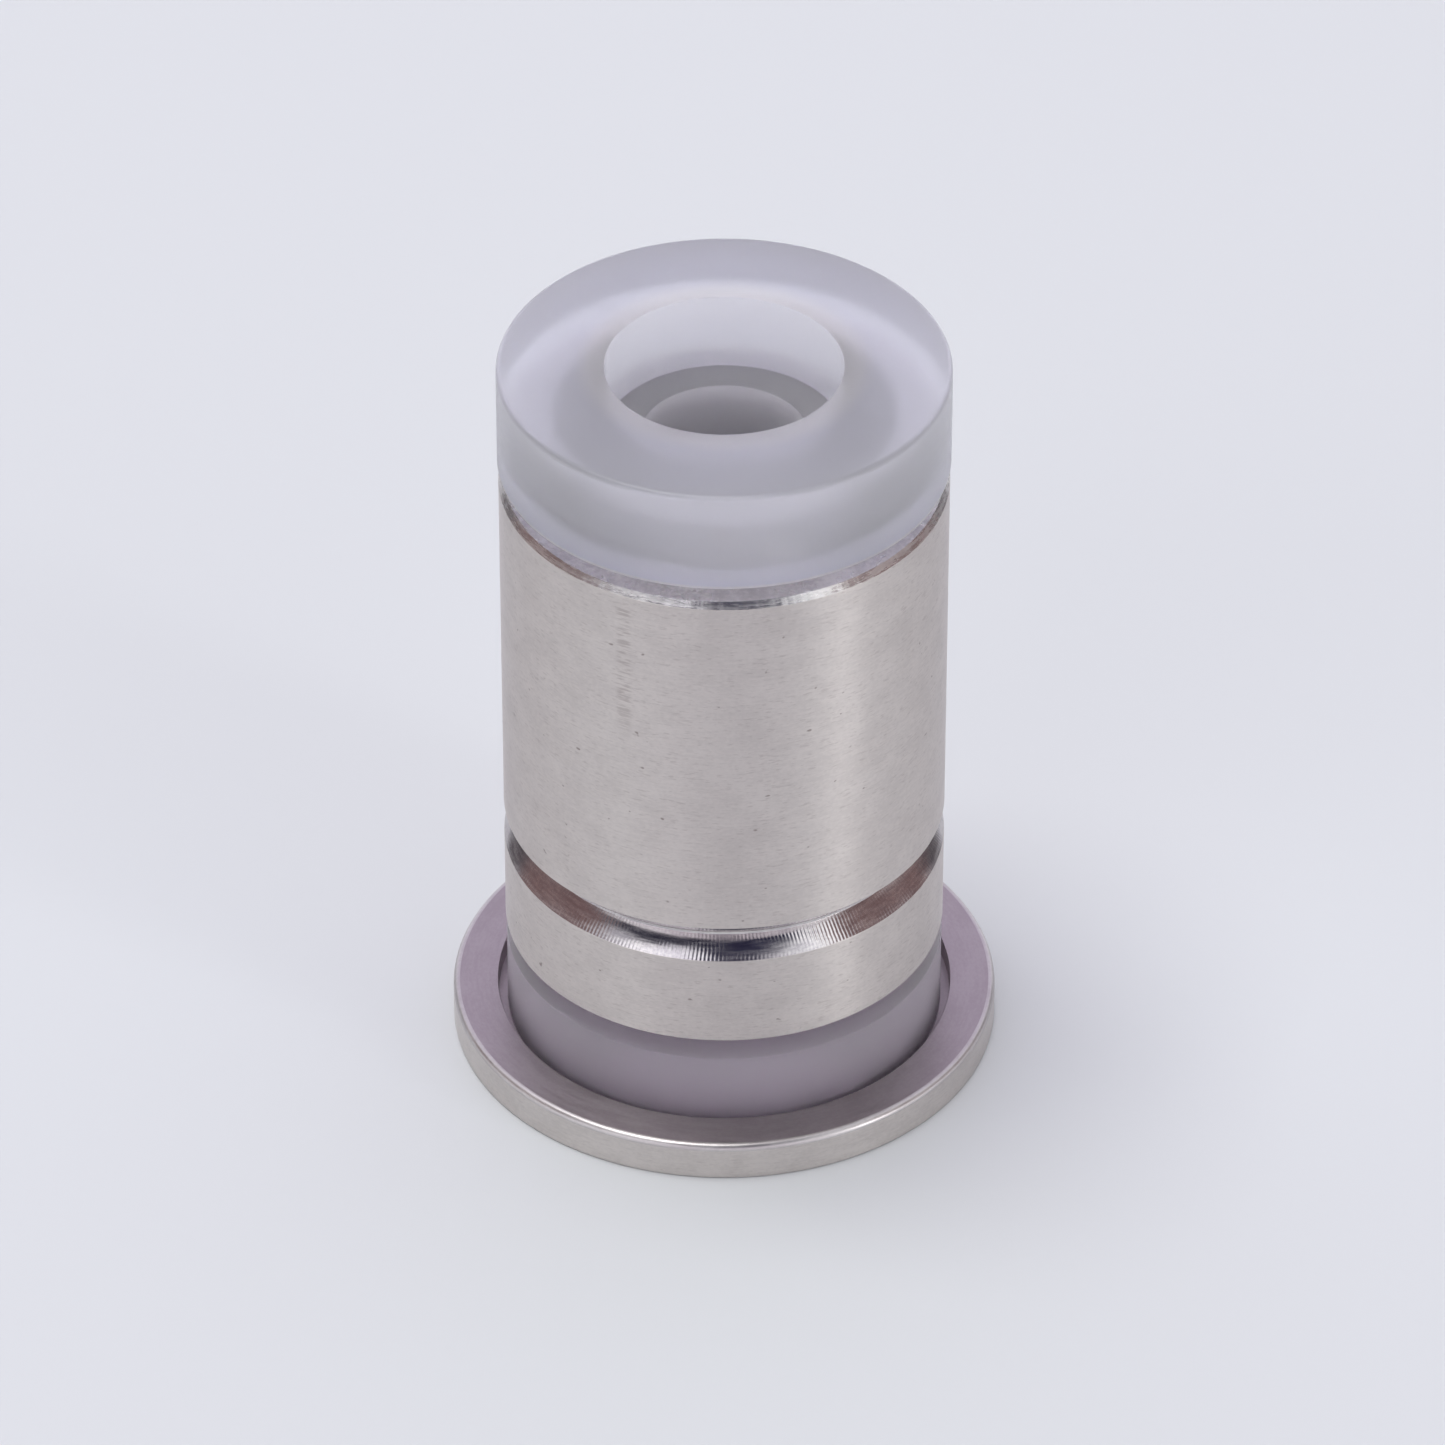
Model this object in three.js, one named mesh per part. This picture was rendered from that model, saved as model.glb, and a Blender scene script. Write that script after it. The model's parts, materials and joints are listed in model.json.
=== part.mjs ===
// A ball check valve cartridge for a liquid pump head: two ball-and-seat stages stacked in one sleeve.
// Units are millimetres and +Z is up, the way the liquid flows. The origin is on the axis, at the
// underside, where the base flange and the inlet seal's face lie.
//
// The steel sleeve holds the stack: the inlet seal's spigot, then for each stage a gasket, a seat in its
// holder, a second gasket, a ball in its fluted cage and a ported stop plate, with a spacer between the
// stages, and last the outlet seal's spigot. The two translucent seals stand off the sleeve's ends, so
// that clamping the cartridge squeezes the stack and not the sleeve.
import * as THREE from 'three';

// Sleeve
const sleeveDiameter = 10;
const sleeveLength = 12.18;
const sleeveWall = 1.2;
const sleeveTopChamfer = 0.145;
const sleeveEdgeBreak = 0.04;
const boreChamfer = 0.2;
const grooveHeight = 2.29; // from the sleeve's bottom end to the groove's lower edge
const grooveWidth = 0.94;
const grooveDepth = 0.44;
const grooveRootWidth = 0.06;

// Outlet and inlet seals
const outletHeadProud = 0.02; // how far the outlet seal's head stands outside the sleeve
const outletHeadHeight = 2.42;
const outletStandOff = 0.44; // open height between the sleeve's top end and the outlet seal's head
const inletHeadInset = 0.02; // how far the inlet seal's head lies inside the sleeve's outside
const inletHeight = 2.44; // the inlet seal's head and foot together
const inletStandOff = 0.52; // open height between the inlet seal's head and the sleeve's bottom end
const headEdgeBreak = 0.03;
const outletRimRound = 0.12;
const socketDiameter = 5.26; // counterbore that takes the pump head's nozzle
const socketDepth = 1.84;
const passageDiameter = 3.69;
const spigotChamfer = 0.15;
const footInset = 0.7; // from the inlet seal's head in to its foot
const footHeight = 0.45;

// Base flange
const flangeReach = 1.23; // how far the flange stands outside the sleeve
const flangeThickness = 0.91;
const flangeTopRound = 0.14;
const flangeUnderRound = 0.03;
const flangeGap = 0.22; // open ring between the inlet seal's head and the flange

// Valve stages
const ballDiameter = 2;
const ballLift = 0.4;
const seatDiameter = 5;
const seatThickness = 1.3;
const seatEdgeBreak = 0.1;
const seatLand = 0.1; // half the lapped cone's width, measured along the radius
const gasketThickness = 0.15;
const stopThickness = 0.5;
const spacerThickness = 0.35;
const portCount = 4;
const portDiameter = 1.1;

// Clearances
const slipFit = 0.02; // radial, between the sleeve's bore and what slides into it
const footFit = 0.02; // radial, between the inlet seal's foot and the flange
const holderFit = 0.01; // radial, between a seat and its holder
const guideFit = 0.1; // radial, between a ball and the lands of its cage
const ballGap = 0.01; // ball to seat when shut, and ball to stop plate when open
const portMargin = 0.05; // between the ports' outermost point and the passage they open into
const gasketMargin = 0.4; // radial, between a seat's flare and the bore of the gaskets on it

// Facets round a full turn, and steps in one rounded edge
const outsideFacets = 48;
const insideFacets = 24;
const roundSteps = 3;

// Radii that follow
const sleeveRadius = sleeveDiameter / 2;
const boreRadius = sleeveRadius - sleeveWall;
const stackRadius = boreRadius - slipFit;
const outletHeadRadius = sleeveRadius + outletHeadProud;
const inletHeadRadius = sleeveRadius - inletHeadInset;
const footRadius = inletHeadRadius - footInset;
const flangeRadius = sleeveRadius + flangeReach;
const socketRadius = socketDiameter / 2;
const passageRadius = passageDiameter / 2;
const ballRadius = ballDiameter / 2;
const guideRadius = ballRadius + guideFit;
const contactRadius = ballRadius * Math.SQRT1_2; // where a ball meets the seat's 45 degree cone
const seatRadius = seatDiameter / 2;
const seatBoreRadius = contactRadius - seatLand;
const seatFlareRadius = contactRadius + seatLand;
const gasketBoreRadius = seatFlareRadius + gasketMargin;
const portRadius = portDiameter / 2;
const portCircleRadius = passageRadius - portMargin - portRadius;

// Heights that follow
const ballCentreOverSeat = contactRadius - seatLand + ballGap;
const ballRoom = ballCentreOverSeat + ballRadius + ballLift + ballGap; // seat's top to stop plate
const cageHeight = ballRoom - gasketThickness;
const stageHeight = 2 * gasketThickness + seatThickness + cageHeight + stopThickness;
const spigotLength = (sleeveLength - 2 * stageHeight - spacerThickness) / 2;
const sleeveBottom = inletHeight + inletStandOff;
const sleeveTop = sleeveBottom + sleeveLength;
const inletSpigotTop = sleeveBottom + spigotLength;
const spacerBottom = inletSpigotTop + stageHeight;
const upperStageBottom = spacerBottom + spacerThickness;
const outletSpigotBottom = sleeveTop - spigotLength;
const outletHeadBottom = sleeveTop + outletStandOff;
const outletTop = outletHeadBottom + outletHeadHeight;

const sleeveSteel = new THREE.MeshStandardMaterial({ color: 0xb3adaa, roughness: 0.35, metalness: 1 });
const flangeSteel = new THREE.MeshStandardMaterial({ color: 0xa39b9f, roughness: 0.4, metalness: 1 });
const innerSteel = new THREE.MeshStandardMaterial({ color: 0xb8b6b4, roughness: 0.3, metalness: 1 });
const frostedPolymer = new THREE.MeshStandardMaterial({ color: 0xcfcfdb, roughness: 0.5, metalness: 0 });
const whitePolymer = new THREE.MeshStandardMaterial({ color: 0xefeee9, roughness: 0.6, metalness: 0 });
const tanPolymer = new THREE.MeshStandardMaterial({ color: 0xc2a878, roughness: 0.5, metalness: 0 });
const sapphire = new THREE.MeshStandardMaterial({ color: 0xe6edf2, roughness: 0.05, metalness: 0 });
const ruby = new THREE.MeshStandardMaterial({ color: 0xa8122c, roughness: 0.05, metalness: 0 });

// Points along an arc, both ends included, as [x, y] or as [radius, height].
function arc(centre, radius, fromDegrees, toDegrees, steps) {
  return Array.from({ length: steps + 1 }, (_, step) => {
    const angle = THREE.MathUtils.degToRad(THREE.MathUtils.lerp(fromDegrees, toDegrees, step / steps));
    return [centre[0] + radius * Math.cos(angle), centre[1] + radius * Math.sin(angle)];
  });
}

function toVectors(points) {
  return points.map(([x, y]) => new THREE.Vector2(x, y));
}

// A ring turned from a closed outline of [radius, height] points, listed anticlockwise.
function turned(outline, facets) {
  return new THREE.LatheGeometry(toVectors([...outline, outline[0]]), facets).rotateX(Math.PI / 2);
}

// A flat ring, standing on the given height.
function washer(holeRadius, outerRadius, bottom, thickness) {
  const top = bottom + thickness;
  const outline = [[holeRadius, bottom], [outerRadius, bottom], [outerRadius, top], [holeRadius, top]];
  return turned(outline, insideFacets);
}

// A disc of the stack's diameter with the given holes through it, standing on the given height.
function pierced(holes, bottom, thickness) {
  const shape = new THREE.Shape(toVectors(arc([0, 0], stackRadius, 0, 360, insideFacets).slice(1)));
  shape.holes = holes.map((hole) => new THREE.Path(toVectors(hole)));
  return new THREE.ExtrudeGeometry(shape, { depth: thickness, bevelEnabled: false }).translate(0, 0, bottom);
}

// The directions of the ports and flutes, in degrees.
function portDirections() {
  return Array.from({ length: portCount }, (_, port) => (port * 360) / portCount);
}

function portCentre(direction) {
  const angle = THREE.MathUtils.degToRad(direction);
  return [portCircleRadius * Math.cos(angle), portCircleRadius * Math.sin(angle)];
}

function sleeve() {
  const grooveLower = sleeveBottom + grooveHeight;
  const grooveUpper = grooveLower + grooveWidth;
  const rootLower = (grooveLower + grooveUpper - grooveRootWidth) / 2;
  const rootRadius = sleeveRadius - grooveDepth;
  return turned([
    [boreRadius + boreChamfer, sleeveBottom],
    [sleeveRadius - sleeveEdgeBreak, sleeveBottom],
    [sleeveRadius, sleeveBottom + sleeveEdgeBreak],
    [sleeveRadius, grooveLower],
    [rootRadius, rootLower],
    [rootRadius, rootLower + grooveRootWidth],
    [sleeveRadius, grooveUpper],
    [sleeveRadius, sleeveTop - sleeveTopChamfer],
    [sleeveRadius - sleeveTopChamfer, sleeveTop],
    [boreRadius + boreChamfer, sleeveTop],
    [boreRadius, sleeveTop - boreChamfer],
    [boreRadius, sleeveBottom + boreChamfer],
  ], outsideFacets);
}

function outletSeal() {
  const rimCentre = [outletHeadRadius - outletRimRound, outletTop - outletRimRound];
  return turned([
    [passageRadius, outletSpigotBottom],
    [stackRadius - spigotChamfer, outletSpigotBottom],
    [stackRadius, outletSpigotBottom + spigotChamfer],
    [stackRadius, outletHeadBottom],
    [outletHeadRadius - headEdgeBreak, outletHeadBottom],
    [outletHeadRadius, outletHeadBottom + headEdgeBreak],
    ...arc(rimCentre, outletRimRound, 0, 90, roundSteps),
    [socketRadius, outletTop],
    [socketRadius, outletTop - socketDepth],
    [passageRadius, outletTop - socketDepth],
  ], outsideFacets);
}

function inletSeal() {
  return turned([
    [socketRadius, 0],
    [footRadius, 0],
    [footRadius, footHeight],
    [inletHeadRadius - headEdgeBreak, footHeight],
    [inletHeadRadius, footHeight + headEdgeBreak],
    [inletHeadRadius, inletHeight - headEdgeBreak],
    [inletHeadRadius - headEdgeBreak, inletHeight],
    [stackRadius, inletHeight],
    [stackRadius, inletSpigotTop - spigotChamfer],
    [stackRadius - spigotChamfer, inletSpigotTop],
    [passageRadius, inletSpigotTop],
    [passageRadius, socketDepth],
    [socketRadius, socketDepth],
  ], outsideFacets);
}

// The inlet seal's foot passes through the flange, and its head rests on the flange's ledge.
function baseFlange() {
  const holeRadius = footRadius + footFit;
  const recessRadius = inletHeadRadius + flangeGap;
  const underCentre = [flangeRadius - flangeUnderRound, flangeUnderRound];
  const topCentre = [flangeRadius - flangeTopRound, flangeThickness - flangeTopRound];
  return turned([
    [holeRadius, 0],
    ...arc(underCentre, flangeUnderRound, -90, 0, roundSteps),
    ...arc(topCentre, flangeTopRound, 0, 90, roundSteps),
    [recessRadius, flangeThickness],
    [recessRadius, footHeight],
    [holeRadius, footHeight],
  ], outsideFacets);
}

// The seat's mouth is a 45 degree cone, and the ball touches it halfway up.
function seat(bottom) {
  const top = bottom + seatThickness;
  return turned([
    [seatBoreRadius, bottom],
    [seatRadius - seatEdgeBreak, bottom],
    [seatRadius, bottom + seatEdgeBreak],
    [seatRadius, top - seatEdgeBreak],
    [seatRadius - seatEdgeBreak, top],
    [seatFlareRadius, top],
    [seatBoreRadius, top - 2 * seatLand],
  ], insideFacets);
}

function ball(seatTop) {
  return new THREE.SphereGeometry(ballRadius, insideFacets, insideFacets / 2)
    .rotateX(Math.PI / 2)
    .translate(0, 0, seatTop + ballCentreOverSeat);
}

// The cage guides the ball between the lands of its bore, and its flutes let the liquid past the ball.
function cage(bottom) {
  const fluteHalfAngle = THREE.MathUtils.radToDeg(Math.asin(portRadius / guideRadius));
  const bore = portDirections().flatMap((direction) => {
    const nextFlute = direction + 360 / portCount;
    return [
      ...arc(portCentre(direction), portRadius, direction - 90, direction + 90, 2 * roundSteps),
      ...arc([0, 0], guideRadius, direction + fluteHalfAngle, nextFlute - fluteHalfAngle, roundSteps),
    ];
  });
  return pierced([bore], bottom, cageHeight);
}

// The stop plate's solid middle ends the ball's lift, and its ports carry on the flutes of the cage.
function stopPlate(bottom) {
  const ports = portDirections().map((direction) => (
    arc(portCentre(direction), portRadius, 0, 360, 4 * roundSteps).slice(1)
  ));
  return pierced(ports, bottom, stopThickness);
}

const cartridge = new THREE.Group();

function addPiece(name, geometry, material) {
  const mesh = new THREE.Mesh(geometry, material);
  mesh.name = name;
  cartridge.add(mesh);
}

// One stage, stacked upwards from the given height.
function addStage(stage, bottom) {
  const seatBottom = bottom + gasketThickness;
  const seatTop = seatBottom + seatThickness;
  const cageBottom = seatTop + gasketThickness;
  const gasket = (height) => washer(gasketBoreRadius, stackRadius, height, gasketThickness);
  const holder = washer(seatRadius + holderFit, stackRadius, seatBottom, seatThickness);
  addPiece(`${stage}_seat_gasket`, gasket(bottom), whitePolymer);
  addPiece(`${stage}_seat_holder`, holder, innerSteel);
  addPiece(`${stage}_seat`, seat(seatBottom), sapphire);
  addPiece(`${stage}_cage_gasket`, gasket(seatTop), whitePolymer);
  addPiece(`${stage}_ball`, ball(seatTop), ruby);
  addPiece(`${stage}_cage`, cage(cageBottom), tanPolymer);
  addPiece(`${stage}_stop_plate`, stopPlate(cageBottom + cageHeight), innerSteel);
}

addPiece('sleeve', sleeve(), sleeveSteel);
addPiece('base_flange', baseFlange(), flangeSteel);
addPiece('inlet_seal', inletSeal(), frostedPolymer);
addPiece('outlet_seal', outletSeal(), frostedPolymer);
addStage('lower', inletSpigotTop);
addPiece('stage_spacer', washer(passageRadius, stackRadius, spacerBottom, spacerThickness), innerSteel);
addStage('upper', upperStageBottom);

export default cartridge;
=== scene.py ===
# A ball check valve cartridge on a pale table: turned steel sleeve and flange, frosted plastic seals.
import json
import bmesh
import bpy
import numpy as np
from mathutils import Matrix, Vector


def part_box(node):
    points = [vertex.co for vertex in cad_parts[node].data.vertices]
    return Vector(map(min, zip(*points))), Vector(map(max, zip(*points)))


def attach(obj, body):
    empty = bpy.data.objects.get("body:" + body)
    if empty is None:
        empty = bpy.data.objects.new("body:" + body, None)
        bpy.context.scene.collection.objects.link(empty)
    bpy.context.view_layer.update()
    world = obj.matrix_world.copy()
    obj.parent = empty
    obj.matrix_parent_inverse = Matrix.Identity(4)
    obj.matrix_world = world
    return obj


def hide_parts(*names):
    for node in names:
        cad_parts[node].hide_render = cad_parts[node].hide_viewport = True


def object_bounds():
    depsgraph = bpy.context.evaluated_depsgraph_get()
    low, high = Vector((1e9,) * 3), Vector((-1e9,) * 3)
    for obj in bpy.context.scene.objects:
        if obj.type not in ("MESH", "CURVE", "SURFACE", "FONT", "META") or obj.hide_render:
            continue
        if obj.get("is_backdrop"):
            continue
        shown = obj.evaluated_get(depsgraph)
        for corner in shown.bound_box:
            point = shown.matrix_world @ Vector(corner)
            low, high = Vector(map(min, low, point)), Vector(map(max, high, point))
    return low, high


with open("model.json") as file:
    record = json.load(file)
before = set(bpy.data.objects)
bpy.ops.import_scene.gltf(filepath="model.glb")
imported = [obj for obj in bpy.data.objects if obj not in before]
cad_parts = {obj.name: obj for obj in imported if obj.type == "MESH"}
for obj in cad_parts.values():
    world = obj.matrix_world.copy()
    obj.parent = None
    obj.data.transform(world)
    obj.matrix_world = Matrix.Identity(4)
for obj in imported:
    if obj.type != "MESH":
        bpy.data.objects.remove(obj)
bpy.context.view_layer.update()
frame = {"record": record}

mm = 0.001
bodyOfNode = {n: b for b, members in frame["record"]["behaviour"]["bodies"].items() for n in members}


def roundedOutline(corners, steps=5, margin=0.008):
    # corners are (r, h, rounding); each corner of the closed outline gives way to an arc tangent to both
    # its edges, whose centre lies on the corner's bisector at rounding / sin(half angle), and a point past
    # each end of the arc keeps the flats flat; a corner of no rounding stays one point
    rows = np.array(corners, float)
    corner, radius = rows[:, :2], rows[:, 2:]
    back, ahead = np.roll(corner, 1, 0) - corner, np.roll(corner, -1, 0) - corner
    back /= np.linalg.norm(back, axis=1, keepdims=True)
    ahead /= np.linalg.norm(ahead, axis=1, keepdims=True)
    half = np.arccos(np.clip((back * ahead).sum(1, keepdims=True), -1, 1)) / 2
    reach = radius / np.tan(half)
    past = np.where(radius > 0, reach + margin, 0)
    middle = back + ahead
    centre = corner + middle / np.linalg.norm(middle, axis=1, keepdims=True) * radius / np.sin(half)
    first, last = corner + back * reach - centre, corner + ahead * reach - centre
    sweep, share = np.pi - 2 * half, np.linspace(0, 1, steps + 1)
    arc = (np.sin((1 - share) * sweep)[..., None] * first[:, None]
           + np.sin(share * sweep)[..., None] * last[:, None]) / np.sin(sweep)[..., None]
    points = np.concatenate([(corner + back * past)[:, None], arc + centre[:, None],
                             (corner + ahead * past)[:, None]], 1)
    kept = (radius > 0) | (np.arange(steps + 3) == 0)
    return points[kept]


def bowed(first, last, rise, steps=6):
    # the points between two corners on a shallow arc that stands off their chord by the given rise
    share = np.linspace(0, 1, steps + 1)[1:-1, None]
    first, last = np.array(first, float), np.array(last, float)
    along = last - first
    off = np.array([along[1], -along[0]]) / np.linalg.norm(along)
    points = first + share * along + 4 * share * (1 - share) * rise * off
    return [(*point, 0) for point in points]


def camel(node):
    # a node's name as one word: lower_stop_plate gives lowerStopPlate
    first, *rest = node.split("_")
    return first + "".join(word.capitalize() for word in rest)


def quadsBetween(index):
    # the faces between each row of a grid and the next; the columns run back into their start
    beside = np.roll(index, -1, 1)
    return np.stack([index[:-1], beside[:-1], beside[1:], index[1:]], -1).reshape(-1, 4)


def gridMesh(name, points):
    # a closed sheet over a grid of points: both directions run back into their start
    rows, columns = points.shape[:2]
    index = np.arange(rows * columns).reshape(rows, columns)
    mesh = bpy.data.meshes.new(name)
    mesh.from_pydata(points.reshape(-1, 3), [], quadsBetween(np.vstack([index, index[:1]])))
    mesh.shade_smooth()
    return mesh


def turnedRing(node, corners, segments, ragged=None):
    # the outline's point (r, h) turned to the angle a lands on (r cos a, r sin a, h + share * wander(a)),
    # where the share is 1 at the ragged edge and fades to 0 within its reach
    outline = roundedOutline(corners)
    angle = np.linspace(0, 2 * np.pi, segments, endpoint=False)
    radius, height = outline[:, :1], outline[:, 1:]
    lift = 0 * angle
    if ragged:
        off = np.hypot(radius - ragged["edge"][0], height - ragged["edge"][1])
        lift = np.clip(1 - off / ragged["reach"], 0, 1) * wander(angle, ragged["depth"])
    points = [radius * np.cos(angle), radius * np.sin(angle), height + lift]
    return gridMesh(camel(node), np.stack(points, -1) * mm)


wanderWaves = {"seed": 7, "frequencies": (9, 150), "count": 60}


def wander(angle, depth):
    # a sum of cosines of whole frequencies, so that it closes on itself, scaled to the depth
    rng = np.random.default_rng(wanderWaves["seed"])
    frequency = rng.integers(*wanderWaves["frequencies"], wanderWaves["count"])[:, None]
    phase = rng.uniform(0, 2 * np.pi, wanderWaves["count"])[:, None]
    wave = np.cos(frequency * angle + phase).sum(0)
    return depth * wave / np.abs(wave).max()


def place(mesh, node, material):
    piece = bpy.data.objects.new(node + "_surface", mesh)
    bpy.context.scene.collection.objects.link(piece)
    mesh.materials.append(material)
    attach(piece, bodyOfNode[node])
    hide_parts(node)
    return piece


def faceMiddles(piece):
    # distance from the axis and height of each face's middle, in mm
    faces = piece.data.polygons
    middle = np.empty(len(faces) * 3)
    faces.foreach_get("center", middle)
    middle = middle.reshape(-1, 3) / mm
    return np.hypot(middle[:, 0], middle[:, 1]), middle[:, 2]


def markFaces(piece, materials, chosen):
    # faces numbered n in chosen take the n-th of these materials, and those numbered 0 keep the piece's own
    for material in materials:
        piece.data.materials.append(material)
    piece.data.polygons.foreach_set("material_index", chosen.astype(int))


def extent(node):
    low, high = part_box(node)
    return low.z / mm, high.z / mm, high.x / mm


class Nodes:
    # a small helper that adds nodes to a tree and links plain values or sockets to their inputs
    def __init__(self, tree):
        self.tree = tree

    def add(self, kind, inputs=(), **settings):
        node = self.tree.nodes.new(kind)
        for key, value in settings.items():
            setattr(node, key, value)
        for key, value in dict(inputs).items():
            self.set(node.inputs[key], value)
        return node

    def set(self, socket, value):
        if isinstance(value, bpy.types.NodeSocket):
            self.tree.links.new(value, socket)
        else:
            socket.default_value = value

    def math(self, operation, *values):
        return self.add("ShaderNodeMath", enumerate(values), operation=operation).outputs[0]

    def times(self, *values):
        return self.math("MULTIPLY", *values)

    def vector(self, operation, *values):
        return self.add("ShaderNodeVectorMath", enumerate(values), operation=operation)

    def noise(self, position, across, along, detail, rough):
        # noise that repeats this often in a metre, across the object's axis and along it
        stretched = self.vector("MULTIPLY", position, (across, across, along)).outputs[0]
        inputs = {"Vector": stretched, "Scale": 1.0, "Detail": detail, "Roughness": rough}
        return self.add("ShaderNodeTexNoise", inputs).outputs["Fac"]

    def ramp(self, value, low, high, first=0.0, last=1.0):
        inputs = {"Value": value, "From Min": low, "From Max": high, "To Min": first, "To Max": last}
        return self.add("ShaderNodeMapRange", inputs, interpolation_type="SMOOTHSTEP").outputs[0]

    def mix(self, share, first, second):
        # a colour mix node keeps its factor and its two colours at these inputs
        inputs = {0: share, 6: first, 7: second}
        return self.add("ShaderNodeMix", inputs, data_type="RGBA").outputs[2]

    def ownPlace(self):
        return self.add("ShaderNodeTexCoord").outputs["Object"]

    def parts(self, vector):
        return self.add("ShaderNodeSeparateXYZ", {"Vector": vector}).outputs

    def azimuth(self, position):
        apart = self.parts(position)
        return self.math("ARCTAN2", apart[1], apart[0])

    def fromAxis(self, position):
        # the place without its height, and how far it is from the axis
        level = self.vector("MULTIPLY", position, (1, 1, 0)).outputs[0]
        return level, self.vector("LENGTH", level).outputs["Value"]


def newMaterial(name):
    material = bpy.data.materials.new(name)
    material.use_nodes = True
    tree = material.node_tree
    return material, Nodes(tree), tree.nodes["Principled BSDF"]


middleTones = (0.3, 0.7)


def setRoughness(nodes, shader, pattern, low, high):
    # the roughness follows a pattern's middle tones from low to high
    nodes.set(shader.inputs["Roughness"], nodes.ramp(pattern, *middleTones, low, high))


def setBump(nodes, shader, height, strength, depth):
    inputs = {"Height": height, "Strength": strength, "Distance": depth}
    nodes.set(shader.inputs["Normal"], nodes.add("ShaderNodeBump", inputs).outputs[0])


scuffShape = {
    # an upright band: its azimuth and half its width in radians, its heights and the fades at its two ends
    "angle": np.radians(-116),
    "halfWidth": 0.05,
    "core": 0.3,
    "heights": (0.0108, 0.0149),
    "fades": (0.0015, 0.0003),
    "share": 0.65,
}
steelMarks = {
    # how often each mark repeats in a metre, across and along the axis, then its detail and roughness
    "streak": (1200, 15000, 3.0, 0.65),
    "blotch": (1100, 1500, 4.0, 0.55),
    "grain": (9000, 17000, 2.0, 0.6),
    "dash": (4400, 24000, 2.0, 0.5),
    "speck": (3800, 5200, 1.0, 0.5),
    "tear": (1500, 15000, 2.0, 0.6),
    "torn": (6500, 26000, 3.0, 0.6),
    "drift": (500, 3000, 2.0, 0.5),
    # how much each of the first three counts, and the noise values between which a mark comes up
    "shares": (0.35, 0.35, 0.30),
    "toneEdges": (0.38, 0.62),
    "dashEdges": (0.56, 0.72),
    "speckEdges": (0.755, 0.81),
    "tearEdges": (0.46, 0.60),
    "driftEdges": (0.3, 0.6),
}
steelLook = {
    "colour": (0.575, 0.538, 0.514, 1),
    "paleColour": (0.649, 0.610, 0.581, 1),
    "dashColour": (0.40, 0.355, 0.34, 1),
    "speckColour": (0.34, 0.30, 0.28, 1),
    "specks": 1.0,
    "dashes": 0.4,
    "flatAt": 0,
    "scuff": scuffShape,
    "roughness": 0.46,
    "roughnessSpread": 0.04,
    "anisotropy": 0.80,
    "anisotropyTurn": 0.25,
    "lines": 0.35,
    "lineDepth": 0.000008,
}
flangeLook = dict(steelLook, roughness=0.34, anisotropy=0.6, specks=0.2, dashes=0.2, scuff=None)
# the rounded top edge: a smoother finish, and a colour darker than the flange steel as painted shade that
# dims its reflections
bevelLookWithPaintedShade = dict(flangeLook, colour=(0.49, 0.46, 0.455, 1), paleColour=(0.56, 0.535, 0.525, 1),
                 roughness=0.37, anisotropy=0.4, dashes=0.0)
# painted shade and painted reflection: a darker copy of the flange steel, with a purple cast, for the
# flange's flat top face and its recess
paintedShadeFaceLook = dict(flangeLook, colour=(0.375, 0.332, 0.345, 1), paleColour=(0.42, 0.377, 0.39, 1),
                roughness=0.38, anisotropy=0.5, specks=0.0, dashes=0.0, lines=0.2, flatAt=0.0057)
innerLook = dict(flangeLook, colour=(0.56, 0.55, 0.54, 1), paleColour=(0.64, 0.63, 0.62, 1),
                 roughness=0.3, anisotropy=0.2)
cutLook = {
    "colour": (0.50, 0.47, 0.48, 1),
    "paleColour": (0.66, 0.63, 0.62, 1),
    "roughness": 0.12,
    "rings": 0.7,
    "roughnessSpread": 0.1,
    "chatterMarks": 345,
    "drift": 6.0,
    "chatter": 0.45,
    "chatterShare": 0.5,
    "ragged": 0.0,
    "bump": 0.000004,
}
edgeLook = dict(cutLook, colour=(0.56, 0.54, 0.53, 1), paleColour=(0.74, 0.72, 0.70, 1), roughness=0.22,
                rings=2.0, chatterShare=0.1, ragged=1.4, bump=0.0000045)


def steelNoise(nodes, position, mark):
    return nodes.noise(position, *steelMarks[mark])


def steelGrain(nodes, position, look):
    # short streaks that run round the piece, blotches of two tones, and a fine grain
    streak = steelNoise(nodes, position, "streak")
    blotch = steelNoise(nodes, position, "blotch")
    grain = steelNoise(nodes, position, "grain")
    streakShare, blotchShare, grainShare = steelMarks["shares"]
    tone = nodes.math("MULTIPLY_ADD", streak, streakShare, nodes.times(blotch, blotchShare))
    tone = nodes.math("MULTIPLY_ADD", grain, grainShare, tone)
    tone = nodes.ramp(tone, *steelMarks["toneEdges"])
    return streak, nodes.mix(tone, look["colour"], look["paleColour"])


def roundTheFace(nodes, position, reachOfMarks):
    # on a flat turned face the marks run round too: the direction from the axis stands in for the place
    # round the piece, and the distance from the axis stands in for height
    level, reach = nodes.fromAxis(position)
    toward = nodes.vector("NORMALIZE", level).outputs[0]
    around = nodes.vector("MULTIPLY", toward, (reachOfMarks, reachOfMarks, 0)).outputs[0]
    upright = nodes.add("ShaderNodeCombineXYZ", {"Z": reach}).outputs[0]
    return nodes.vector("ADD", around, upright).outputs[0]


def scuffBand(nodes, position, scuff):
    # a narrow upright band of closer dashes: near one azimuth, between two heights
    height = nodes.parts(position)[2]
    off = nodes.math("ABSOLUTE", nodes.math("SUBTRACT", nodes.azimuth(position), scuff["angle"]))
    band = nodes.ramp(off, scuff["halfWidth"], scuff["core"] * scuff["halfWidth"])
    for end, fade in zip(scuff["heights"], (scuff["fades"][0], -scuff["fades"][1])):
        band = nodes.times(band, nodes.ramp(height, end, end + fade))
    tear = nodes.ramp(steelNoise(nodes, position, "tear"), *steelMarks["tearEdges"])
    return nodes.times(band, nodes.times(tear, scuff["share"]))


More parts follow.
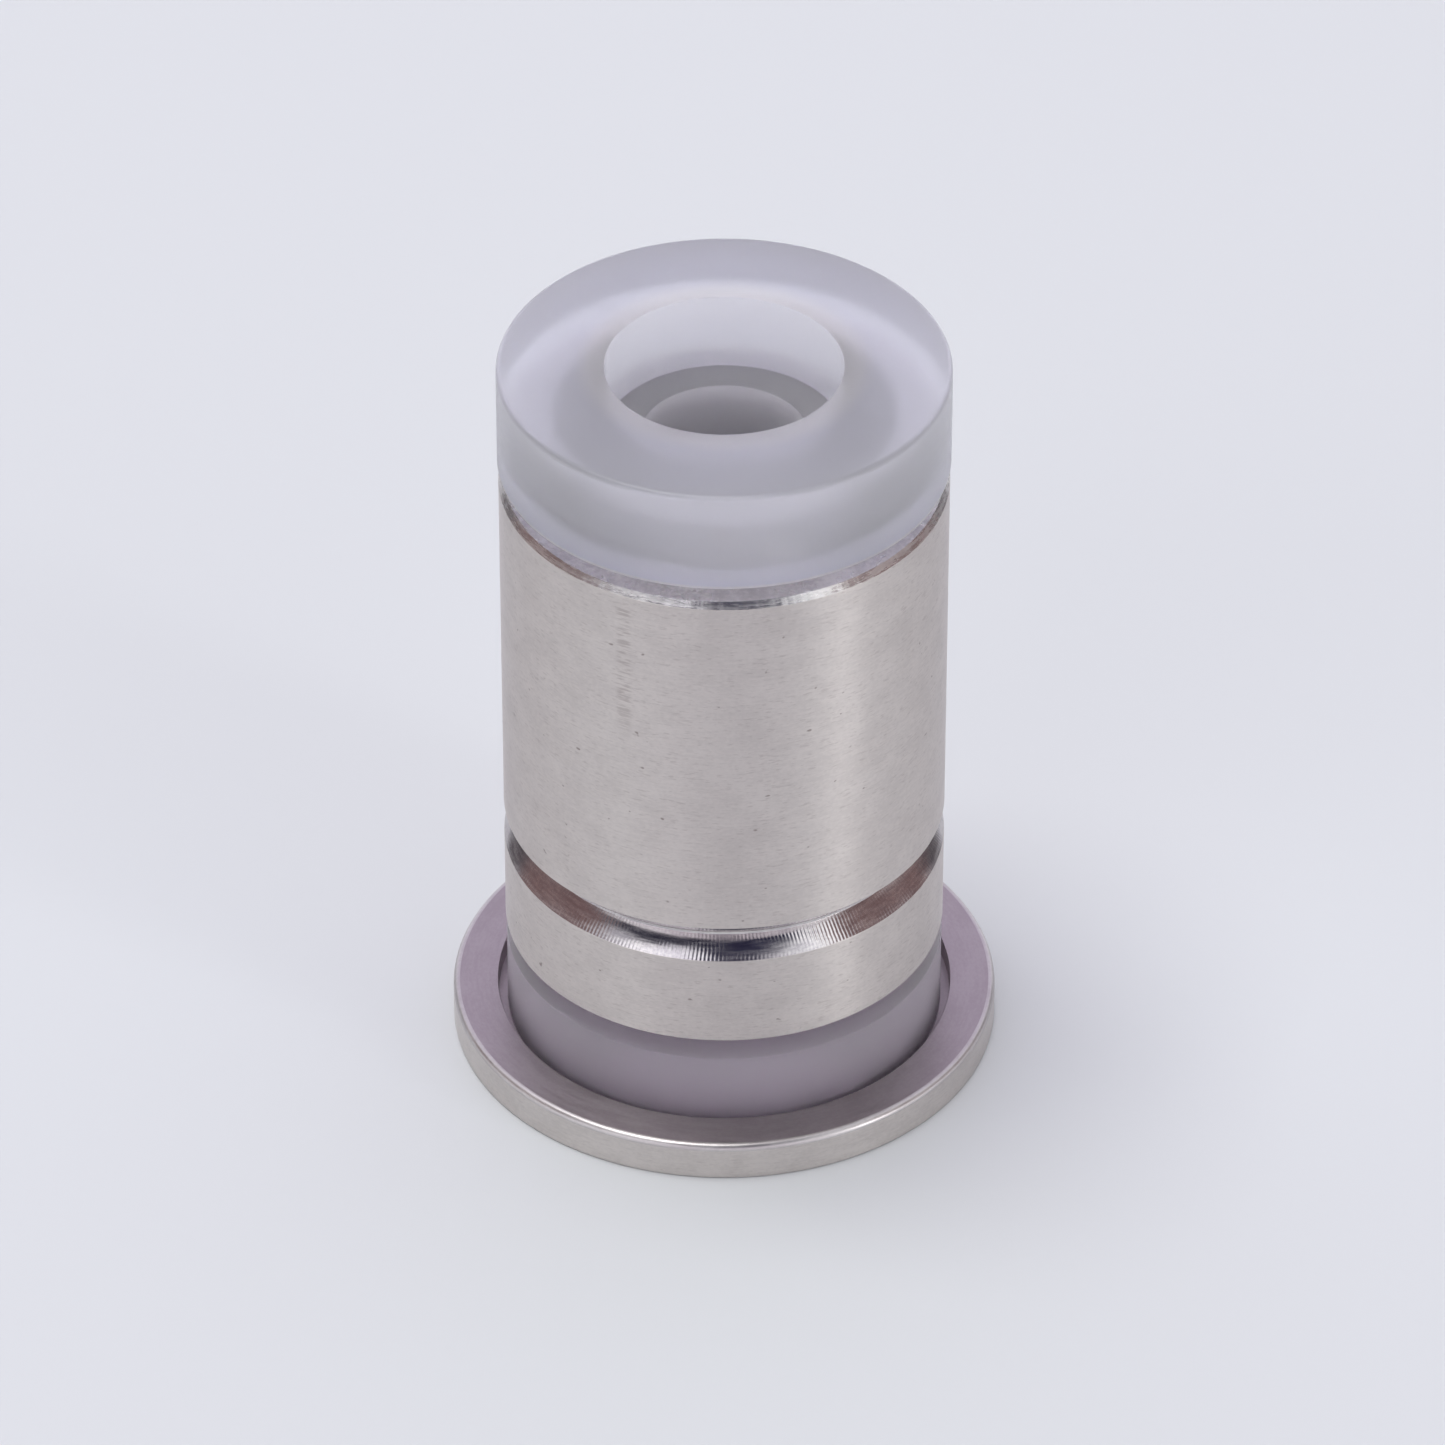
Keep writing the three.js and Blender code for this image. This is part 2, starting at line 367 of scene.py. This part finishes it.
def makeSteel(name, look):
    material, nodes, shader = newMaterial(name)
    position = nodes.ownPlace()
    if look["flatAt"]:
        position = roundTheFace(nodes, position, look["flatAt"])
    streak, colour = steelGrain(nodes, position, look)
    dash = nodes.ramp(steelNoise(nodes, position, "dash"), *steelMarks["dashEdges"])
    speck = nodes.ramp(steelNoise(nodes, position, "speck"), *steelMarks["speckEdges"])
    if look["scuff"]:
        colour = nodes.mix(scuffBand(nodes, position, look["scuff"]), colour, look["dashColour"])
    colour = nodes.mix(nodes.times(dash, look["dashes"]), colour, look["dashColour"])
    colour = nodes.mix(nodes.times(speck, look["specks"]), colour, look["speckColour"])
    nodes.set(shader.inputs["Base Color"], colour)
    nodes.set(shader.inputs["Metallic"], 1.0)
    nodes.set(shader.inputs["Anisotropic"], look["anisotropy"])
    nodes.set(shader.inputs["Anisotropic Rotation"], look["anisotropyTurn"])
    tangent = nodes.add("ShaderNodeTangent", direction_type="RADIAL", axis="Z").outputs[0]
    nodes.set(shader.inputs["Tangent"], tangent)
    spread = look["roughnessSpread"]
    setRoughness(nodes, shader, streak, look["roughness"] - spread, look["roughness"] + spread)
    setBump(nodes, shader, streak, look["lines"], look["lineDepth"])
    return material


def makeCutSteel(name, look):
    # bright faces left by the point of a tool: fine rings crossed by the marks of its chatter
    material, nodes, shader = newMaterial(name)
    position = nodes.ownPlace()
    streak, colour = steelGrain(nodes, position, look)
    drift = steelNoise(nodes, position, "drift")
    shift = nodes.times(drift, look["drift"])
    phase = nodes.math("MULTIPLY_ADD", nodes.azimuth(position), look["chatterMarks"], shift)
    chatter = nodes.times(nodes.math("SINE", phase), nodes.ramp(drift, *steelMarks["driftEdges"]))
    height = nodes.math("MULTIPLY_ADD", chatter, look["chatterShare"], nodes.times(streak, look["rings"]))
    torn = steelNoise(nodes, position, "torn")
    height = nodes.math("MULTIPLY_ADD", torn, look["ragged"], height)
    nodes.set(shader.inputs["Base Color"], colour)
    nodes.set(shader.inputs["Metallic"], 1.0)
    setRoughness(nodes, shader, streak, look["roughness"], look["roughness"] + look["roughnessSpread"])
    setBump(nodes, shader, height, look["chatter"], look["bump"])
    return material


frostLook = {
    # the colours hold painted light and shade: the bore is painted warmer and brighter for the light that
    # comes through it, the ledge and passage below it are painted lighter, the top face is painted darker
    # as painted shade, everything under the upper seal's head is painted lighter against its shade, and the
    # low ring is painted lighter and purple as a painted reflection of the steel; the outside is the
    # plastic's own bluish haze; heights and radii say where one colour fades into the next, in metres
    "outside": (0.85, 0.855, 1.0, 1),
    # painted light: the bore above the ledge is warm and bright for the light that comes through the
    # plastic
    "bore": (1.0, 0.985, 0.985, 1),
    # painted light: the ledge and the passage below the bore are lighter against their shade
    "deep": (1.0, 0.965, 1.0, 1),
    "paintedLightDeepHeight": (0.01618, 0.0163),
    # painted shade: the top face is darker than the outside
    "top": (0.76, 0.775, 0.90, 1),
    "paintedShadeTopHeight": (0.01790, 0.01798),
    "boreRadius": (0.0026, 0.0034),
    # painted light: everything under the upper seal's head, down to the low ring, is lighter against its
    # shade
    "gap": (1.0, 0.98, 1.0, 1),
    "paintedLightGapHeight": (0.01560, 0.01568),
    # painted light and painted reflection: the low ring is lighter against the shade where it meets the
    # parts, and purple from the steel round it
    "low": (1.0, 0.85, 1.0, 1),
    "paintedLightLowHeight": (0.0026, 0.004),
    "roughness": 0.33,
    "transmission": 0.65,
    "roughnessSpread": 0.04,
    "ior": 1.43,
    "glowDepth": 0.0055,
    # repeats in a metre across and along the axis, detail and roughness
    "grain": (3000, 9000, 3.0, 0.6),
    "bump": 0.1,
    "bumpDepth": 0.000005,
}


def makeFrosted(name, look):
    material, nodes, shader = newMaterial(name)
    position = nodes.ownPlace()
    grain = nodes.noise(position, *look["grain"])
    height, reach = nodes.parts(position)[2], nodes.fromAxis(position)[1]
    # painted shade: the top face takes its darker colour
    outside = nodes.mix(nodes.ramp(height, *look["paintedShadeTopHeight"]), look["outside"], look["top"])
    # painted light: the warm bright bore over the lighter ledge and passage
    inside = nodes.mix(nodes.ramp(height, *look["paintedLightDeepHeight"]), look["deep"], look["bore"])
    colour = nodes.mix(nodes.ramp(reach, *look["boreRadius"]), inside, outside)
    # painted light: lighter under the upper seal's head
    colour = nodes.mix(nodes.ramp(height, *look["paintedLightGapHeight"]), look["gap"], colour)
    # painted light and painted reflection: the low ring lighter and purple
    colour = nodes.mix(nodes.ramp(height, *look["paintedLightLowHeight"]), look["low"], colour)
    nodes.set(shader.inputs["Base Color"], colour)
    nodes.set(shader.inputs["Transmission Weight"], look["transmission"])
    nodes.set(shader.inputs["IOR"], look["ior"])
    nodes.set(shader.inputs["Subsurface Weight"], 1.0)
    nodes.set(shader.inputs["Subsurface Radius"], (1.0, 1.0, 1.0))
    nodes.set(shader.inputs["Subsurface Scale"], look["glowDepth"])
    spread = look["roughnessSpread"]
    setRoughness(nodes, shader, grain, look["roughness"] - spread, look["roughness"] + spread)
    setBump(nodes, shader, grain, look["bump"], look["bumpDepth"])
    return material


plainLook = {
    # colour, darker tone and roughness
    "whitePlastic": ((0.80, 0.80, 0.78, 1), (0.72, 0.72, 0.70, 1), 0.50),
    "tanPlastic": ((0.56, 0.42, 0.24, 1), (0.46, 0.34, 0.19, 1), 0.42),
}
plainGrain = {
    "noise": (2500, 6000, 3.0, 0.6),
    "toneEdges": (0.35, 0.65),
    "spread": 0.05,
    "bump": 0.3,
    "depth": 0.00001,
}


def makePlain(name, colour, darker, roughness, marks):
    material, nodes, shader = newMaterial(name)
    grain = nodes.noise(nodes.ownPlace(), *marks["noise"])
    tone = nodes.ramp(grain, *marks["toneEdges"])
    nodes.set(shader.inputs["Base Color"], nodes.mix(tone, colour, darker))
    setRoughness(nodes, shader, grain, roughness - marks["spread"], roughness + marks["spread"])
    setBump(nodes, shader, grain, marks["bump"], marks["depth"])
    return material


gemLook = {
    # colour, roughness and index of refraction
    "sapphire": ((0.93, 0.95, 0.98, 1), 0.04, 1.76),
    "ruby": ((0.70, 0.02, 0.07, 1), 0.03, 1.76),
}
gemHaze = {"noise": (900, 900, 3.0, 0.6), "spread": 0.03, "transmission": 0.9}


def makeGem(name, colour, roughness, ior, marks):
    material, nodes, shader = newMaterial(name)
    haze = nodes.noise(nodes.ownPlace(), *marks["noise"])
    nodes.set(shader.inputs["Base Color"], colour)
    setRoughness(nodes, shader, haze, roughness, roughness + marks["spread"])
    nodes.set(shader.inputs["Transmission Weight"], marks["transmission"])
    nodes.set(shader.inputs["IOR"], ior)
    return material


sleeveSteel = makeSteel("turnedSteel", steelLook)
flangeSteel = makeSteel("flangeSteel", flangeLook)
paintedShadeFaceSteel = makeSteel("paintedShadeFaceSteel", paintedShadeFaceLook)
bevelSteelWithPaintedShade = makeSteel("bevelSteelWithPaintedShade", bevelLookWithPaintedShade)
cutSteel = makeCutSteel("cutSteel", cutLook)
edgeSteel = makeCutSteel("edgeSteel", edgeLook)
frosted = makeFrosted("frostedPlastic", frostLook)
innerSteel = makeSteel("innerSteel", innerLook)
whitePlastic, tanPlastic = (makePlain(name, *row, plainGrain) for name, row in plainLook.items())
sapphire, ruby = (makeGem(name, *row, gemHaze) for name, row in gemLook.items())
print("materials made")


sleeveShape = {
    "segments": 720,
    "wall": 1.2,
    "topChamfer": 0.145,
    "topChamferWidth": 0.130,
    "bottomEdge": 0.04,
    "boreChamfer": 0.2,
    "grooveHeight": 2.29,
    "grooveWidth": 0.94,
    "grooveDepth": 0.44,
    "grooveRoot": 0.06,
    "flankBow": 0.018,
    "edgeRound": 0.010,
    "raggedDepth": 0.009,
    "raggedReach": 0.1,
}


def makeSleeve(shape):
    bottom, top, radius = extent("sleeve")
    bore = radius - shape["wall"]
    lower = bottom + shape["grooveHeight"]
    upper = lower + shape["grooveWidth"]
    root = radius - shape["grooveDepth"]
    rootLow = (lower + upper - shape["grooveRoot"]) / 2
    edge = shape["edgeRound"]
    corners = [
        (bore + shape["boreChamfer"], bottom, edge),
        (radius - shape["bottomEdge"], bottom, edge),
        (radius, bottom + shape["bottomEdge"], edge),
        (radius, lower, edge),
        *bowed((radius, lower), (root, rootLow), shape["flankBow"]),
        (root, rootLow, edge),
        (root, rootLow + shape["grooveRoot"], edge),
        (radius, upper, edge),
        (radius, top - shape["topChamfer"], edge),
        (radius - shape["topChamferWidth"], top, edge),
        (bore + shape["boreChamfer"], top, edge),
        (bore, top - shape["boreChamfer"], edge),
        (bore, bottom + shape["boreChamfer"], edge),
    ]
    ragged = {"edge": (radius, top - shape["topChamfer"]), "reach": shape["raggedReach"],
              "depth": shape["raggedDepth"]}
    piece = place(turnedRing("sleeve", corners, shape["segments"], ragged), "sleeve", sleeveSteel)
    reach, height = faceMiddles(piece)
    inside = reach < radius - 0.6 * edge  # the groove, the chamfer and the bore, but not the two lands
    atTop = height > top - 1.2 * shape["topChamfer"]  # as far down as the ragged edge comes
    markFaces(piece, (cutSteel, edgeSteel), inside * (1 + atTop))


makeSleeve(sleeveShape)


flangeShape = {
    "segments": 480,
    "ledge": 0.45,
    "hole": 4.30,
    "recess": 5.20,
    "topRound": 0.14,
    "underRound": 0.03,
    "edgeRound": 0.015,
}


def makeFlange(shape):
    bottom, top, radius = extent("base_flange")
    edge, ledge = shape["edgeRound"], bottom + shape["ledge"]
    corners = [
        (shape["hole"], bottom, edge),
        (radius, bottom, shape["underRound"]),
        (radius, top, shape["topRound"]),
        (shape["recess"], top, edge),
        (shape["recess"], ledge, edge),
        (shape["hole"], ledge, edge),
    ]
    piece = place(turnedRing("base_flange", corners, shape["segments"]), "base_flange", flangeSteel)
    reach, height = faceMiddles(piece)
    flat = height > top - 0.1 * edge  # the share of the edge only allows for the last digits
    rounded = reach > radius - shape["topRound"] - edge
    # the rounded top edge's faces: they take the darker painted-shade copy of the steel
    bevel = rounded & (height > top - shape["topRound"])
    # the recess walls, ledge and hole: with the flat top face they take the darker, purple painted-shade
    # copy of the steel
    inner = reach < shape["recess"] + edge
    markFaces(piece, (paintedShadeFaceSteel, bevelSteelWithPaintedShade), np.where(bevel, 2, flat | inner))


makeFlange(flangeShape)


sealShape = {
    "segments": 480,
    "socketRadius": 2.63,
    "socketDepth": 1.84,
    "passageRadius": 1.845,
    "spigotRadius": 3.78,
    "spigotChamfer": 0.15,
    "edgeRound": 0.02,
    "rimRound": 0.12,
    "standOff": 0.44,
    "footRadius": 4.28,
    "footHeight": 0.45,
    "headTop": 2.44,
}


def makeOutletSeal(shape):
    bottom, top, radius = extent("outlet_seal")
    headBottom = extent("sleeve")[1] + shape["standOff"]
    spigot, chamfer, edge = shape["spigotRadius"], shape["spigotChamfer"], shape["edgeRound"]
    ledge = top - shape["socketDepth"]
    corners = [
        (shape["passageRadius"], bottom, edge),
        (spigot - chamfer, bottom, edge),
        (spigot, bottom + chamfer, edge),
        (spigot, headBottom, edge),
        (radius, headBottom, edge),
        (radius, top, shape["rimRound"]),
        (shape["socketRadius"], top, edge),
        (shape["socketRadius"], ledge, edge),
        (shape["passageRadius"], ledge, edge),
    ]
    return place(turnedRing("outlet_seal", corners, shape["segments"]), "outlet_seal", frosted)


def makeInletSeal(shape):
    bottom, top, radius = extent("inlet_seal")
    spigot, chamfer, edge = shape["spigotRadius"], shape["spigotChamfer"], shape["edgeRound"]
    corners = [
        (shape["socketRadius"], bottom, edge),
        (shape["footRadius"], bottom, edge),
        (shape["footRadius"], shape["footHeight"], edge),
        (radius, shape["footHeight"], edge),
        (radius, shape["headTop"], edge),
        (spigot, shape["headTop"], edge),
        (spigot, top - chamfer, edge),
        (spigot - chamfer, top, edge),
        (shape["passageRadius"], top, edge),
        (shape["passageRadius"], shape["socketDepth"], edge),
        (shape["socketRadius"], shape["socketDepth"], edge),
    ]
    return place(turnedRing("inlet_seal", corners, shape["segments"]), "inlet_seal", frosted)


makeOutletSeal(sealShape)
makeInletSeal(sealShape)
print("sleeve, flange and seals made")


washerShape = {
    "segments": 360,
    "holderBore": 2.51,
    "gasketBore": 1.207,
    "spacerBore": sealShape["passageRadius"],
    "edgeRound": 0.015,
}


def makeWasher(node, bore, shape, material):
    # a flat ring turned from a rectangle
    bottom, top, radius = extent(node)
    edge = shape["edgeRound"]
    corners = [(bore, bottom, edge), (radius, bottom, edge), (radius, top, edge), (bore, top, edge)]
    return place(turnedRing(node, corners, shape["segments"]), node, material)


seatShape = {
    "segments": 360,
    "bore": 0.607,
    "flare": 0.807,
    "flareDepth": 0.2,
    "edgeBreak": 0.1,
    "edgeRound": 0.02,
}


def makeSeat(node, shape):
    bottom, top, radius = extent(node)
    edge, broken = shape["edgeRound"], shape["edgeBreak"]
    corners = [
        (shape["bore"], bottom, edge),
        (radius - broken, bottom, edge),
        (radius, bottom + broken, edge),
        (radius, top - broken, edge),
        (radius - broken, top, edge),
        (shape["flare"], top, edge),
        (shape["bore"], top - shape["flareDepth"], edge),
    ]
    return place(turnedRing(node, corners, shape["segments"]), node, sapphire)


ballShape = {"rows": 96, "columns": 192}


def makeBall(node, shape):
    # a sphere in latitude and longitude: x = r cos a cos b, y = r sin a cos b, z = middle + r sin b, with
    # one point at each pole
    bottom, top, radius = extent(node)
    rows, columns = shape["rows"], shape["columns"]
    latitude = np.linspace(-np.pi / 2, np.pi / 2, rows + 1)[1:-1, None]
    longitude = np.linspace(0, 2 * np.pi, columns, endpoint=False)[None, :]
    across = radius * np.cos(latitude)
    height = (bottom + top) / 2 + radius * np.sin(latitude)
    points = np.stack([across * np.cos(longitude), across * np.sin(longitude), height + 0 * longitude], -1)
    points = np.concatenate([points.reshape(-1, 3), [[0, 0, bottom], [0, 0, top]]]) * mm
    index = np.arange((rows - 1) * columns).reshape(rows - 1, columns)
    beside = np.roll(index, -1, 1)
    south, north = index.size, index.size + 1
    low = np.stack([np.full(columns, south), beside[0], index[0]], -1)
    high = np.stack([index[-1], beside[-1], np.full(columns, north)], -1)
    mesh = bpy.data.meshes.new(camel(node))
    mesh.from_pydata(points, [], [*quadsBetween(index).tolist(), *low.tolist(), *high.tolist()])
    mesh.shade_smooth()
    return place(mesh, node, ruby)


portShape = {
    # the cage's flutes and the stop plate's ports share their radius and the circle that they stand on
    "radius": 0.55,
    "circle": 1.245,
    "guide": 1.1,
    "edgeRound": 0.02,
    "columns": 720,
    "sideSteps": 24,
    "weld": 0.001,
}


def fluteRadius(angle, shape):
    # the cage's bore as a distance from the axis: the guide's circle between flutes; within a flute the
    # far side of the port's circle, m cos a + sqrt(r2 - m2 sin2 a), then its straight side, r / sin a
    turn = np.abs((angle + np.pi / 4) % (np.pi / 2) - np.pi / 4)
    port, circle, guide = shape["radius"], shape["circle"], shape["guide"]
    within = np.maximum(port ** 2 - (circle * np.sin(turn)) ** 2, 0)
    rounded = circle * np.cos(turn) + np.sqrt(within)
    side = port / np.maximum(np.sin(turn), 0.1)  # the 0.1 only keeps it finite where it isn't used
    flute = np.where(turn < np.arctan2(port, circle), rounded, side)
    return np.where(turn < np.arcsin(port / guide), flute, guide)


def makeCage(node, shape):
    # a ring whose outside is a circle and whose bore follows the flutes, closed over both ends
    bottom, top, radius = extent(node)
    edge = shape["edgeRound"]
    angle = np.linspace(0, 2 * np.pi, shape["columns"], endpoint=False)
    bore = fluteRadius(angle, shape)
    rim = np.full_like(bore, radius)
    reach = np.stack([bore, bore, bore + edge, (bore + rim) / 2, rim - edge, rim, rim, rim - edge,
                      (bore + rim) / 2, bore + edge], -1)
    height = np.array([top - edge, bottom + edge, bottom, bottom, bottom, bottom + edge, top - edge, top,
                       top, top])
    turned = [reach * np.cos(angle)[:, None], reach * np.sin(angle)[:, None], height + 0 * reach]
    return place(gridMesh(camel(node), np.stack(turned, -1).transpose(1, 0, 2) * mm), node, tanPlastic)


def portQuarter(bottom, top, radius, shape):
    # the sheet round one port, as places on the plane in complex numbers and their heights: it runs from
    # the edge of that port's quarter of the disc, along the ray to the port's middle, over the top face,
    # down the port's wall and back under the plate
    port, circle, edge, steps = (shape[key] for key in ("radius", "circle", "edgeRound", "sideSteps"))
    side = np.linspace(0, radius - edge, steps + 1)[1:]
    arc = np.linspace(-np.pi / 4, np.pi / 4, 2 * steps + 1)[1:-1]
    low, high = np.exp(-0.25j * np.pi), np.exp(0.25j * np.pi)
    edgeLine = np.concatenate([[0], side * low, (radius - edge) * np.exp(1j * arc), side[::-1] * high])
    ray = edgeLine - circle
    ray /= np.abs(ray)
    wall, lip = circle + port * ray, circle + (port + edge) * ray
    flat = np.stack([edgeLine, lip, wall, wall, lip, edgeLine])
    height = np.array([top, top, top - edge, bottom + edge, bottom, bottom])[:, None]
    return flat, height + 0 * flat.real


def makeStopPlate(node, shape):
    # a disc with four ports: the sheet round each port is turned to its own quarter, the rim is a strip of
    # its own, and all of them are welded where they meet
    bottom, top, radius = extent(node)
    edge = shape["edgeRound"]
    flat, height = portQuarter(bottom, top, radius, shape)
    quarters = flat * np.exp(0.5j * np.pi * np.arange(4))[:, None, None]
    level = np.broadcast_to(height, quarters.shape)
    points = np.stack([quarters.real, quarters.imag, level], -1).reshape(-1, 3)
    index = np.arange(quarters.size).reshape(quarters.shape)
    faces = [face for quarter in index for face in quadsBetween(quarter).tolist()]
    turn = np.linspace(-np.pi / 4, 7 * np.pi / 4, 8 * shape["sideSteps"], endpoint=False)
    reach = np.array([radius - edge, radius, radius, radius - edge])[:, None]
    level = np.array([bottom, bottom + edge, top - edge, top])[:, None]
    rim = np.stack([reach * np.cos(turn), reach * np.sin(turn), level + 0 * turn], -1).reshape(-1, 3)
    faces += quadsBetween(np.arange(len(rim)).reshape(4, -1) + len(points)).tolist()
    mesh = bpy.data.meshes.new(camel(node))
    mesh.from_pydata(np.concatenate([points, rim]) * mm, [], faces)
    sheet = bmesh.new()
    sheet.from_mesh(mesh)
    bmesh.ops.remove_doubles(sheet, verts=sheet.verts, dist=shape["weld"] * mm)
    sheet.to_mesh(mesh)
    sheet.free()
    mesh.shade_smooth()
    return place(mesh, node, innerSteel)


for stage in ("lower", "upper"):
    makeWasher(stage + "_seat_gasket", washerShape["gasketBore"], washerShape, whitePlastic)
    makeWasher(stage + "_cage_gasket", washerShape["gasketBore"], washerShape, whitePlastic)
    makeWasher(stage + "_seat_holder", washerShape["holderBore"], washerShape, innerSteel)
    makeSeat(stage + "_seat", seatShape)
    makeBall(stage + "_ball", ballShape)
    makeCage(stage + "_cage", portShape)
    makeStopPlate(stage + "_stop_plate", portShape)
makeWasher("stage_spacer", washerShape["spacerBore"], washerShape, innerSteel)
print("inner pieces made")


tableLook = {"size": 1.2, "clearance": 0.00001, "colour": (0.664, 0.688, 0.694, 1), "roughness": 0.6}


def makeTable(look):
    half = look["size"] / 2
    corners = np.array([[-half, -half, 0], [half, -half, 0], [half, half, 0], [-half, half, 0]])
    mesh = bpy.data.meshes.new("table")
    mesh.from_pydata(corners, [], [(0, 1, 2, 3)])
    material, nodes, shader = newMaterial("tableSheet")
    nodes.set(shader.inputs["Base Color"], look["colour"])
    nodes.set(shader.inputs["Roughness"], look["roughness"])
    mesh.materials.append(material)
    table = bpy.data.objects.new("table", mesh)
    table.location.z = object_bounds()[0].z - look["clearance"]
    bpy.context.scene.collection.objects.link(table)
    table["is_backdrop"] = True


makeTable(tableLook)


def direction(azimuth, elevation):
    # a unit vector; azimuth 0 is the camera's side and grows towards +X
    a, e = np.radians(azimuth), np.radians(elevation)
    return (np.sin(a) * np.cos(e), -np.cos(a) * np.cos(e), np.sin(e))


roomLook = {
    "wall": (0.86, 0.88, 0.93, 1),
    "horizon": (1.12, 1.12, 1.19, 1),
    "horizonEdges": (0.05, 0.55),
    "strength": 1.28,
    "patches": [
        # azimuth, elevation, inner and outer half angle in degrees, colour
        ((180, 2), 20, 50, (1.16, 1.19, 1.30, 1)),
        ((180, 40), 22, 48, (0.65, 0.60, 0.74, 1)),
        ((0, 6), 20, 50, (0.86, 0.815, 0.90, 1)),
        ((8, 60), 14, 29, (0.02, 0.02, 0.05, 1)),
        ((2, 38), 6, 15, (0.05, 0.05, 0.08, 1)),
        ((-48, 63), 22, 31, (0.03, 0.03, 0.05, 1)),
        ((-60, 35), 6, 12, (0.55, 0.55, 0.60, 1)),
        ((-42, 33), 7, 13, (1.35, 1.35, 1.42, 1)),
        ((-24, 40), 6, 11, (1.15, 1.15, 1.25, 1)),
        ((82, 35), 14, 21, (0.19, 0.125, 0.125, 1)),
        ((-88, 33), 12, 20, (0.19, 0.125, 0.125, 1)),
        ((110, 20), 10, 18, (0.19, 0.125, 0.125, 1)),
        ((-110, 20), 10, 18, (0.19, 0.125, 0.125, 1)),
        ((130, 9), 7, 16, (0.10, 0.09, 0.10, 1)),
        ((-130, 9), 7, 16, (0.10, 0.09, 0.10, 1)),
    ],
}


def makeRoom(look):
    world = bpy.data.worlds.new("room")
    world.use_nodes = True
    nodes = Nodes(world.node_tree)
    background = world.node_tree.nodes["Background"]
    gaze = nodes.add("ShaderNodeTexCoord").outputs["Generated"]
    height = nodes.parts(gaze)[2]
    colour = nodes.mix(nodes.ramp(height, *look["horizonEdges"]), look["horizon"], look["wall"])
    for where, inner, outer, patch in look["patches"]:
        facing = nodes.vector("DOT_PRODUCT", gaze, direction(*where)).outputs["Value"]
        fadeStart, fadeEnd = np.cos(np.radians([outer, inner])).tolist()
        colour = nodes.mix(nodes.ramp(facing, fadeStart, fadeEnd), colour, patch)
    nodes.set(background.inputs["Color"], colour)
    nodes.set(background.inputs["Strength"], look["strength"])
    bpy.context.scene.world = world


makeRoom(roomLook)

lampDistance = 0.5
lampLook = [
    # name, azimuth, elevation, width and height in metres, brightness of its face
    ("leftLamp", -100, 78, 0.22, 0.22, 7.2),
    ("rightLamp", 54, 45, 0.07, 0.20, 0.6),
    ("lowLamp", 57, 14, 0.065, 0.14, 9.0),
]


def makeLamp(name, azimuth, elevation, width, height, brightness):
    lamp = bpy.data.lights.new(name, "AREA")
    lamp.shape, lamp.size, lamp.size_y = "RECTANGLE", width, height
    lamp.energy = brightness * np.pi * width * height
    holder = bpy.data.objects.new(name, lamp)
    holder.location = Vector(direction(azimuth, elevation)) * lampDistance
    holder.rotation_euler = holder.location.to_track_quat("Z", "Y").to_euler()
    bpy.context.scene.collection.objects.link(holder)


for lampRow in lampLook:
    makeLamp(*lampRow)

cameraLook = {
    "lens": 233.7,
    "sensor": 36,
    "place": (-0.038, -168.85, 135.78),
    "pitch": 52.92,
    "clip": (0.01, 10),
}


def makeCamera(look):
    camera = bpy.data.cameras.new("camera")
    camera.lens, camera.sensor_width = look["lens"], look["sensor"]
    camera.clip_start, camera.clip_end = look["clip"]
    holder = bpy.data.objects.new("camera", camera)
    holder.location = Vector(look["place"]) * mm
    holder.rotation_euler = (np.radians(look["pitch"]), 0, 0)
    bpy.context.scene.collection.objects.link(holder)
    bpy.context.scene.camera = holder


makeCamera(cameraLook)
bpy.context.scene.view_settings.view_transform = "Standard"
print("room made")
